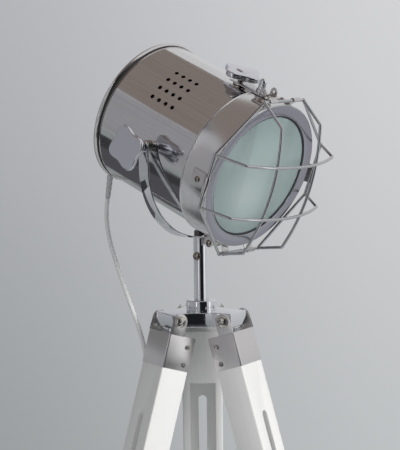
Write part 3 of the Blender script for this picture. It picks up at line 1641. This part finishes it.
    def clamp(self) -> None:
        """The clamp's bolt, washer and star knob."""
        inner, face = self.depth - self.outer, -(self.outer + 0.3)
        head = [(0.0, -3.0), *[(r, -z) for r, z in reversed(dome(8.0, 3.0, 0.0)[:-1])]]
        bolt = Bench.turned("bolt", head + [(BOLT_R, 0.0), (BOLT_R, 55.0), (0.0, 55.0)], 32)
        Bench.laid(bolt, shift(0, inner, 0) @ turn(90, "X"))
        bore = BOLT_R + 0.05
        ring = [(bore, 0), (10.7, 0), (11, 0.3), (11, 0.9), (10.7, 1.2), (bore, 1.2)]
        washer = Bench.turned("washer", ring, 40, closed=True)
        Bench.laid(washer, shift(0, face, 0) @ turn(90, "X"))
        bolt = Bench.join(f"clamp_bolt_set_{self.side}", [bolt, washer])
        Bench.laid(bolt, shift(0, 0, -self.clamp_at))
        Bench.fitted(bolt, self.place, f"leg_end_{self.side}", BOLT, [f"clamp_bolt_{self.side}"])
        knob = star_knob("clamp_star", 20.0, 8.0, 11.0, 9.0, 9.0)
        Bench.laid(knob, shift(0, -12.8, -self.clamp_at) @ turn(90, "X"))
        knob.name = f"clamp_star_{self.side}"
        Bench.fitted(knob, self.place, f"clamp_{self.side}", KNOB, [f"clamp_knob_{self.side}"])

    def build(self) -> None:
        """Makes the whole leg."""
        self.cap()
        self.upper()
        self.lower()
        self.clamp()


def star_knob(
    name: str, radius: float, plate: float, hub: float, near: float, far: float, cap: Sequence[Pair] = ()
) -> bpy.types.Object:
    """A cast star knob: a hub that starts at z = 0 and flares to a four-lobed plate.

    Args:
        name: its name.
        radius: radius to the tips of the lobes.
        plate: thickness of the star.
        hub: length of the hub under the star.
        near: hub radius at its start.
        far: hub radius at the star.
        cap: profile of a boss on top, from the star's face to the axis.

    Returns:
        The knob.
    """
    star = Bench.plate("star", star_outline(radius), plate, min(2.0, plate * 0.3), 4)
    Bench.laid(star, shift(0, 0, hub))
    flare = [(near + (far - near) * (i / 8) ** 2.2, 0.6 + (hub - 0.6) * i / 8) for i in range(9)]
    profile = [(0.0, 0.0), (near - 0.6, 0.0), *flare, (far, hub + 1.0), (0.0, hub + 1.0)]
    stalk = Bench.turned("stalk", profile, 48)
    parts = [star, stalk]
    if cap:
        parts.append(Bench.turned("boss", [(0.0, hub + plate - 1), *cap], 48))
    return Bench.join(name, parts)


# ---------- yoke ----------


@dataclass
class Yoke:
    """The strap yoke and its nut."""

    outer: float = 111.0
    strap: float = 3.0
    width: float = 16.0
    under: float = -130.0
    flat: float = 10.0

    def outline(self, half: float, top: float) -> list[Pair]:
        """A U-shaped outline with quarter arcs at its lower corners.

        Args:
            half: half of its width.
            top: the height of its two ends.

        Returns:
            The outline from one end to the other.
        """
        radius = half - self.flat
        middle = self.under + self.outer - self.flat
        left = arc((-self.flat, middle), radius, 180, 270, 40)
        right = arc((self.flat, middle), radius, 270, 360, 40)
        return [(-half, top), *left, *right, (half, top)]

    def build(self) -> None:
        """Bends the strap, rounds its ends and adds the nut."""
        half = self.width / 2
        outside = self.outline(self.outer, half)
        inside = self.outline(self.outer - self.strap, half)
        strap = Bench.plate("yoke_strap", outside + inside[::-1], self.width)
        Bench.laid(strap, shift(0, half, 0) @ turn(90, "X"))
        window = [(-half, -140.0), (half, -140.0), *arc((0.0, 0.0), half, 0, 180, 24)]
        gauge = Bench.plate("gauge", window, 260.0)
        Bench.laid(gauge, shift(-130, 0, 0) @ EDGEWISE)
        Bench.cut(strap, gauge, keep=True)
        Bench.eased(strap, 0.5, 2, 60)
        Bench.fitted(strap, YOKE, "swivel", CHROME, ["yoke"], angle=30)
        nut = Bench.rod("nut", 8.6, -127, -121, 6)
        ball = [(0.0, -130.0), (8.7, -130.0), (8.7, -122.4), (7.4, -121.0), (0.0, -121.0)]
        Bench.cut(nut, Bench.turned("chamfer", ball, 48), keep=True)
        end = [(0.0, -122.0), (5.0, -122.0), (5.0, -120.4), (4.5, -120.0), (0.0, -120.0)]
        nut = Bench.join("swivel_nut", [nut, Bench.turned("post_tip", end, 32)])
        Bench.fitted(nut, YOKE, "swivel", NUT, ["yoke_nut"], angle=25)


# ---------- head ----------


@dataclass
class LampHead:
    """The drum with its cover, tilt bolts and knobs, cable elbow, hinge bracket and latch stud."""

    radius: float = 100.0
    wall: float = 1.2
    back: float = -97.0
    front: float = 76.0
    vent: float = 3.0
    vent_rows: tuple[float, ...] = (28.0, 37.2, 46.4, 55.6)
    vent_files: tuple[float, ...] = (-31.0, -18.5, -6.0, 6.5)
    facets: int = 360
    knob_seat: float = 111.3
    bolt_head: tuple[Pair, ...] = (
        (0.0, 97.0), (8.0, 97.0), (9.0, 97.8), (9.0, 99.4), (BOLT_R, 99.4), (BOLT_R, 100.1),
    )

    def drum(self) -> None:
        """A rolled sheet with vent holes on both sides of its top."""
        r, bore = self.radius, self.radius - self.wall
        profile = [(bore, self.back), (r, self.back), (r, self.front - 0.3)]
        profile += [(r - 0.3, self.front), (bore, self.front)]
        drum = Bench.turned("drum_shell", profile, self.facets, closed=True)
        punch = Bench.rod("punch", self.vent, r - 8, r + 8, 24)
        spots = []
        for side in (-1, 1):
            for angle in self.vent_rows:
                for z in self.vent_files:
                    spots.append(shift(0, 0, z) @ turn(side * angle, "Z") @ turn(-90, "X"))
        Bench.cut(drum, Bench.copies("punch", punch, spots))
        Bench.fitted(drum, HEAD, "head", DRUM, ["head_shell"], angle=28)

    def cover(self) -> None:
        """A pressed cover with a shallow ring and a rolled bead over a skirt, and its dark seam."""
        back, bore = self.back, self.radius + 0.05
        out = back - self.wall
        bead = arc((100.7, back), 2.6, 205, 380, 18)
        profile = [(0.0, out), (30.5, out), (33.0, -96.9), (56.0, -96.9), (58.5, out), (98.4, out), *bead]
        profile += [(101.0, -93.6), (100.7, -89.2), (100.5, -89.0), (bore, -89.0), (bore, back)]
        profile += [(58.9, back), (56.4, -95.8), (32.6, -95.8), (30.1, back), (0.0, back)]
        cover = Bench.turned("drum_cover", profile, 256)
        Bench.fitted(cover, HEAD, "head", COVER, ["rear_cover"])
        seam = [(99.9, -94.6), (101.1, -94.6), (101.1, -90.6), (100.8, -89.8), (99.9, -89.8)]
        Bench.fitted(Bench.turned("cover_seam", seam, 256, closed=True), HEAD, "head", SEAM)

    def tilt_bolts(self) -> None:
        """The two tilt bolts with heads inside and spacers outside."""
        spacer = [(7.6, 100.1), (8.0, 100.5), (8.0, 107.3), (7.6, 107.7), (BOLT_R, 107.7)]
        end = [(3.6, 132.6), (0.0, 132.6)]
        profile = [*self.bolt_head, *spacer, *thread(108.4, 131.0, 1.25), *end]
        bolt = Bench.turned("tilt_bolt", profile, 32)
        bolts = Bench.copies("tilt_bolts", bolt, [turn(90, "Y"), turn(-90, "Y")])
        Bench.fitted(bolts, HEAD, "head", BOLT, ["pivot_bolts"])

    def tilt_knobs(self) -> None:
        """The star knobs on both sides, each with one lobe in the same direction."""
        for side, sign in (("right", 1), ("left", -1)):
            knob = star_knob("tilt_star", 30.0, 7.0, 27.0, 8.0, 12.0)
            seat = shift(sign * self.knob_seat, 0, 0) @ turn(sign * 90, "Y")
            Bench.laid(knob, seat @ turn(30 - sign * 90, "Z"))
            knob.name = f"tilt_star_{side}"
            Bench.fitted(knob, HEAD, f"{side}_tilt_knob", KNOB, [f"tilt_knob_{side}"])

    def elbow(self) -> None:
        """The cord's elbow on the rear cover, with its flange."""
        x, y, z = ELBOW
        r = 7.5
        flange = [(0.0, -101.2), (11.2, -101.2), (12.0, -100.6), (12.0, -98.4), (11.8, -98.2), (0.0, -98.2)]
        neck = [(0.0, z), (r, z), (r, -103.0), (8.4, -101.6), (9.4, -101.0), (0.0, -101.0)]
        ball = [(0.0, z - r), *arc((0.0, z), r, -84, 84, 18), (0.0, z + r)]
        parts = [Bench.turned("elbow_part", p, 40) for p in (flange, neck, ball)]
        elbow = Bench.join("cord_elbow", parts)
        Bench.laid(elbow, shift(x, y, 0))
        Bench.fitted(elbow, HEAD, "head", GREY_PLASTIC, ["cable_entry"])

    def hinge_bracket(self) -> None:
        """The riveted plate under the drum, its two ears and the hinge pin that they carry."""
        near, far, low, high = -100.1, -101.7, 41.3, 67.3
        plate = Bench.block("hinge_ears", (-11, far, low), (11, near, high), 0.35, 2)
        ear = [(near, 61.7), (near, high), (-112.0, 80.0), *arc(HINGE, 6.0, 90, 270, 12), (-112.0, 62.7)]
        sheet = Bench.plate("ear", ear, 3.0, 0.4, 2)
        ears = Bench.copies("ear", sheet, [shift(x, 0, 0) @ EDGEWISE for x in (8, -11)])
        rivet = Bench.turned("rivet", [(0.0, 0.0), (3.2, 0.0), *dome(3.2, 1.6, 0.0)[:-1], (0.0, 1.6)], 24)
        rivets = Bench.copies("rivet", rivet, [shift(0, far, z) @ turn(90, "X") for z in (47.3, 59.3)])
        bracket = Bench.join("hinge_ears", [plate, ears, rivets])
        Bench.fitted(bracket, HEAD, "head", NICKEL, ["hinge_bracket"])
        half = 11.1
        screw = cross_screw("pin_head", 4.5, 2.6, 2.5, half)
        spots = [shift(0, *HINGE) @ turn(s, "Y") @ shift(0, 0, half) for s in (90, -90)]
        pin = Bench.copies("hinge_screw", screw, spots)
        Bench.fitted(pin, HEAD, "head", SCREW, ["hinge_pin"])

    def latch_stud(self) -> None:
        """The threaded stud on top of the drum with its boss."""
        boss = [(8.6, 100.1), (9.0, 100.5), (9.0, 102.2), (8.6, 102.6), (BOLT_R, 102.6)]
        end = [(BOLT_R, 119.2), (0.0, 119.2)]
        profile = [*self.bolt_head, *boss, *thread(103.0, 113.0, 1.0), *end]
        stud = Bench.turned("stud", profile, 32)
        Bench.laid(stud, shift(0, 0, LATCH_Z) @ turn(-90, "X"))
        stud.name = "latch_bolt"
        Bench.fitted(stud, HEAD, "head", BOLT, ["latch_stud"])

    def latch_knob(self) -> None:
        """The star knob that clamps the strap."""
        cap = [(10.0, 11.5), (10.0, 11.6), (9.4, 12.0), (7.4, 12.8), (6.6, 13.0), (0.0, 13.0)]
        knob = star_knob("latch_star", 28.5, 7.5, 4.0, 11.0, 18.0, cap)
        Bench.laid(knob, shift(0, 107.7, LATCH_Z) @ turn(-90, "X"))
        Bench.fitted(knob, HEAD, "door_knob", KNOB, ["latch_knob"])

    def build(self) -> None:
        """Makes the whole head."""
        self.drum()
        self.cover()
        self.tilt_bolts()
        self.tilt_knobs()
        self.elbow()
        self.hinge_bracket()
        self.latch_stud()
        self.latch_knob()


# ---------- door ----------


@dataclass
class Door:
    """The front door: band, bezel, glass, wire guard, clips, hinge leaf and latch strap."""

    band: float = 102.8
    face: float = 115.0
    glass_back: float = 108.3
    glass_face: float = 112.3
    wire: float = 2.1
    ring_z: float = 117.4
    reach: float = 109.0
    side: float = 40.0
    up: float = 40.0
    low: float = 34.0
    leg: float = 38.0
    slant: float = 19.5
    crown: float = 57.0
    narrow: float = 14.0
    wide: float = 26.0
    clip_sheet: float = 1.5
    post_y: float = 104.5
    post_z: float = 76.0

    @property
    def clips(self) -> list[Point]:
        """Direction of each flat that carries clips, the clip's place along it and the clip's width."""
        sides = [(0, -4, self.wide), (180, 4, self.wide)]
        return sides + [(d, a, self.narrow) for d in (90, 270) for a in (24, -24)]

    def lean(self, along: float) -> float:
        """The angle, in degrees, at which a clip's plate lies on the band."""
        return math.degrees(math.atan2(along, self.reach))

    def rings(self) -> None:
        """The band with its bead, the bezel with its glass seat, and the glass."""
        bore, face = 101.2, self.face
        bead = arc((self.band, 70.0), 1.05, -125, 80, 9)
        lip = arc((101.3, 113.4), 1.5, 0, 80, 5)
        profile = [(bore, 69.2), (101.5, 69.0), *bead, (self.band, 71.4), *lip, (bore, face - 0.05)]
        band = Bench.turned("front_band_ring", profile, 320, closed=True)
        Bench.fitted(band, HEAD, "door", BAND, ["front_band"])
        top = [(86.5, 112.6), (86.5, 114.4), (86.7, 114.8), (87.1, face), (100.9, face), (101.1, 114.8)]
        under = [(101.1, 112.4), (90.2, 112.4), (90.2, 105.8), (86.3, 105.8), (86.3, 106.8)]
        profile = top + under + [(88.8, 106.8), (88.8, 112.4), (86.7, 112.4)]
        bezel = Bench.turned("bezel", profile, 256, closed=True)
        Bench.fitted(bezel, HEAD, "door", BEZEL, ["bezel_ring"])
        profile = [(84.4, 112.45), (86.4, 112.45), (86.4, 113.9), (85.6, 113.9), (84.4, 113.2)]
        Bench.fitted(Bench.turned("glass_gasket", profile, 192, closed=True), HEAD, "door", RUBBER)
        low, high = self.glass_back, self.glass_face
        crown = [(r, high + 1.1 * (1 - (r / 86.0) ** 2)) for r in (86, 80, 70, 60, 50, 40, 30, 20, 10, 0)]
        rim = [(88.1, low), (88.5, low + 0.4), (88.5, high - 0.4), (88.1, high)]
        glass = Bench.turned("front_glass", [(0.0, low), *rim, *crown], 192)
        Bench.fitted(glass, HEAD, "door", FrostedGlass(), ["glass"], angle=30)

    def corners(self) -> list[Pair]:
        """Corners of the wire octagon."""
        s, r, u, d = self.side, self.reach, self.up, -self.low
        return [(s, r), (r, u), (r, d), (s, -r), (-s, -r), (-r, d), (-r, u), (-s, r)]

    def bowed(self, half: float, crown: float) -> list[Pair]:
        """One bar in its own plane: straight legs, soft knees and a bowed crown.

        Args:
            half: half of the bar's span.
            crown: how far its middle stands out.

        Returns:
            The bar's centreline.
        """
        knee, rise = half - self.slant, crown - self.leg
        bow = (knee * knee + rise * rise) / (2 * rise)
        reach = math.degrees(math.asin(knee / bow))
        arch = arc((0.0, crown - bow), bow, 90 + reach, 90 - reach, 28)
        legs = [(-half, 0.0), *rounded((-half, 0.0), arch[0], arch[1], 3.0)]
        right = [(-x, y) for x, y in reversed(legs)]
        return legs + arch[1:-1] + right

    def guard(self) -> None:
        """The octagon of wire, its four bars and the welds between them."""
        spots, z = self.corners(), self.ring_z
        ring = []
        for i, here in enumerate(spots):
            ring += rounded(spots[i - 1], here, spots[(i + 1) % len(spots)], 3.2)
        wires = [Bench.tube("ring", [(x, y, z) for x, y in ring], self.wire, closed=True)]
        for y in (self.up, -self.low):
            bar = self.bowed(self.reach, self.crown)
            wires.append(Bench.tube("bar", [(x, y, z + out) for x, out in bar], self.wire - 0.05))
        for x in (-self.side, self.side):
            bar = self.bowed(self.reach, self.crown - 2.12 * self.wire)
            wires.append(Bench.tube("bar", [(x, y, z + out) for y, out in bar], self.wire - 0.05))
        size = self.wire + 0.45
        bead = [(0.0, -size), *arc((0.0, 0.0), size, -80, 80, 8), (0.0, size)]
        weld = Bench.turned("weld", bead, 14)
        wires.append(Bench.copies("weld", weld, [shift(x, y, z + 0.3) for x, y in spots]))
        Bench.fitted(Bench.join("wire_guard", wires), HEAD, "door", WIRE, ["guard"], angle=60)

    def hooks(self) -> None:
        """Six sheet clips on the band, each with a hook round the wire."""
        parts = []
        sheet = self.clip_sheet
        for direction, along, width in self.clips:
            half = width / 2
            lie, tip = self.band + 0.1 + sheet / 2, math.hypot(self.reach, along)
            bend = rounded((lie, 100), (lie, 108.6), (tip, 115.4), 2.0)
            line = [(lie, 87.0), (lie, 107.6), *bend, (tip, self.face)]
            plate = Bench.plate("clip", strip_outline(line, sheet), width, 0.25, 2)
            facing = turn(direction + self.lean(along), "Z") @ UPRIGHT
            parts.append(Bench.laid(plate, facing @ shift(0, 0, -half)))
            curl = arc((self.reach, self.ring_z), self.wire + 0.9, -100, 95, 14)
            hook = Bench.plate("hook", strip_outline(curl, sheet), width, 0.2, 2)
            facing = turn(direction, "Z") @ UPRIGHT
            parts.append(Bench.laid(hook, facing @ shift(0, 0, -half - along)))
        Bench.fitted(Bench.join("wire_clips", parts), HEAD, "door", NICKEL, ["guard_clips"], angle=35)

    def screws(self) -> None:
        """The screws of the clips, the hinge leaf and the strap."""
        seat, outward = self.band + 1.65, turn(-90, "X")
        spots = []
        for direction, along, _ in self.clips:
            place = turn(direction + self.lean(along) - 90, "Z") @ shift(0, seat, 97)
            spots.append(place @ outward @ turn(direction + 30, "Z"))
        spots.append(turn(180, "Z") @ shift(0, seat, 82) @ outward @ turn(15, "Z"))
        spots.append(shift(0, self.post_y + 0.05, 91) @ outward @ turn(40, "Z"))
        screws = Bench.copies("door_fixings", cross_screw("fixing", 4.2, 2.4, 2.0, 3.0), spots)
        Bench.fitted(screws, HEAD, "door", SCREW, ["door_screws"])

    def leaf(self) -> None:
        """The strip under the band that rolls round the hinge pin."""
        lie, bend, width = -103.65, 2.75, 15.4
        knee = arc((lie - bend, 79.0), bend, 0, -90, 5)
        curl = arc(HINGE, 3.73, 300, 8, 20)
        line = [(lie, 90.0), (lie, 79.0), *knee[1:], *curl[::-1][1:]]
        leaf = Bench.plate("hinge_strip", strip_outline(line, 1.7), width, 0.25, 2)
        Bench.laid(leaf, shift(-width / 2, 0, 0) @ EDGEWISE)
        Bench.fitted(leaf, HEAD, "door", NICKEL, ["hinge_leaf"], angle=35)

    def strap(self) -> None:
        """The forked latch strap with its ears and rolled end, and the domed post."""
        half, slot, start, end, eye = 12, 4.7, 30, 100, (110.0, 89.0)
        mouth = [(-half, start), (-slot, start), *arc((0.0, LATCH_Z), slot, 180, 0, 16), (slot, start)]
        outline = mouth + [(half, start), (half, end), (-half, end)]
        flat = Bench.plate("latch_plate", outline, 1.5, 0.3, 2)
        Bench.laid(flat, shift(0, self.post_y, 0) @ UPRIGHT)
        edge = [(0.0, -half), (1.7, -half), (2.0, 0.3 - half), (2.0, half - 0.3), (1.7, half), (0.0, half)]
        roll = Bench.turned("roll", edge, 28)
        Bench.laid(roll, shift(0, 105, end) @ turn(90, "Y"))
        sheet = Bench.plate("ear", [(103.2, 83.5), (103.2, 94.5), *arc(eye, 5.5, 90, -90, 16)], 2.0, 0.3, 2)
        ears = Bench.copies("ear", sheet, [shift(x, 0, 0) @ EDGEWISE for x in (half - 2, -half)])
        hole = Bench.laid(Bench.rod("eye", 2.0, -20, 20, 24), shift(0, *eye) @ turn(90, "Y"))
        Bench.cut(ears, hole)
        Bench.fitted(Bench.join("latch_plate", [flat, roll, ears]), HEAD, "door", NICKEL, ["latch_strap"])
        foot = [(0.0, 0.0), (6.2, 0.0), (6.5, 0.3), (6.5, 3.4), (6.0, 4.0), (5.2, 4.3), (5.0, 4.8)]
        neck = [(5.0, 11.6), (4.4, 12.0), (4.4, 12.6), (5.0, 13.0)]
        profile = foot + neck + [*arc((0.0, 14.0), 5.0, 0, 86, 8), (0.0, 19.0)]
        post = Bench.turned("domed_post", profile, 40)
        Bench.laid(post, shift(0, self.post_y, self.post_z) @ turn(-90, "X"))
        Bench.fitted(post, HEAD, "door", CHROME, ["latch_post"])

    def build(self) -> None:
        """Makes the whole door."""
        self.rings()
        self.guard()
        self.hooks()
        self.screws()
        self.leaf()
        self.strap()


def rounded(before: Pair, corner: Pair, after: Pair, radius: float) -> list[Pair]:
    """Points that round a corner of a line.

    Args:
        before: the point before the corner.
        corner: the corner.
        after: the point after it.
        radius: radius of the rounding.

    Returns:
        Points from one side of the corner to the other.
    """
    a, b, c = Vector(before), Vector(corner), Vector(after)
    start, end = (a - b).normalized(), (c - b).normalized()
    half = math.acos(max(-1.0, min(1.0, start.dot(end)))) / 2
    cut = min(radius / math.tan(half), (a - b).length * 0.45, (c - b).length * 0.45)
    spots = []
    for i in range(7):
        t = i / 6
        first, last = b + start * cut, b + end * cut
        spots.append(tuple(first * (1 - t) ** 2 + b * 2 * t * (1 - t) + last * t**2))
    return spots


def strip_outline(line: Sequence[Pair], thickness: float) -> list[Pair]:
    """The outline of a bent strip from its middle line.

    Args:
        line: the middle line.
        thickness: the strip's thickness.

    Returns:
        The closed outline.
    """
    spots = [Vector(p) for p in line]
    left, right = [], []
    for i, here in enumerate(spots):
        way = (spots[min(i + 1, len(spots) - 1)] - spots[max(i - 1, 0)]).normalized()
        side = Vector((-way.y, way.x)) * thickness / 2
        left.append(tuple(here + side))
        right.append(tuple(here - side))
    return left + right[::-1]


class Carried:
    """The frame's own nodes that stay in sight and only get a finish."""

    finishes = {
        "swivel_stub": (YOKE, CHROME),
        "lampholder": (HEAD, CERAMIC),
        "bulb": (HEAD, BULB),
    }

    def build(self) -> None:
        """Dresses each node."""
        for name, (place, finish) in self.finishes.items():
            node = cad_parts[name]
            for held in node.material_slots:
                held.material = finish.dress(place)
            log.info("%s keeps its shape in %s", name, finish.name)


def main() -> None:
    """Builds the studio and the lamp."""
    logging.basicConfig(level=logging.INFO, format="%(name)s: %(message)s")
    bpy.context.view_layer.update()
    studio = Studio()
    studio.camera()
    Cord().build(FootSwitch().build())
    HubGroup().build()
    for side in LEG_AZIMUTHS:
        Leg(side).build()
    Yoke().build()
    LampHead().build()
    Door().build()
    Carried().build()
    studio.build()


if __name__ == "__main__":
    main()
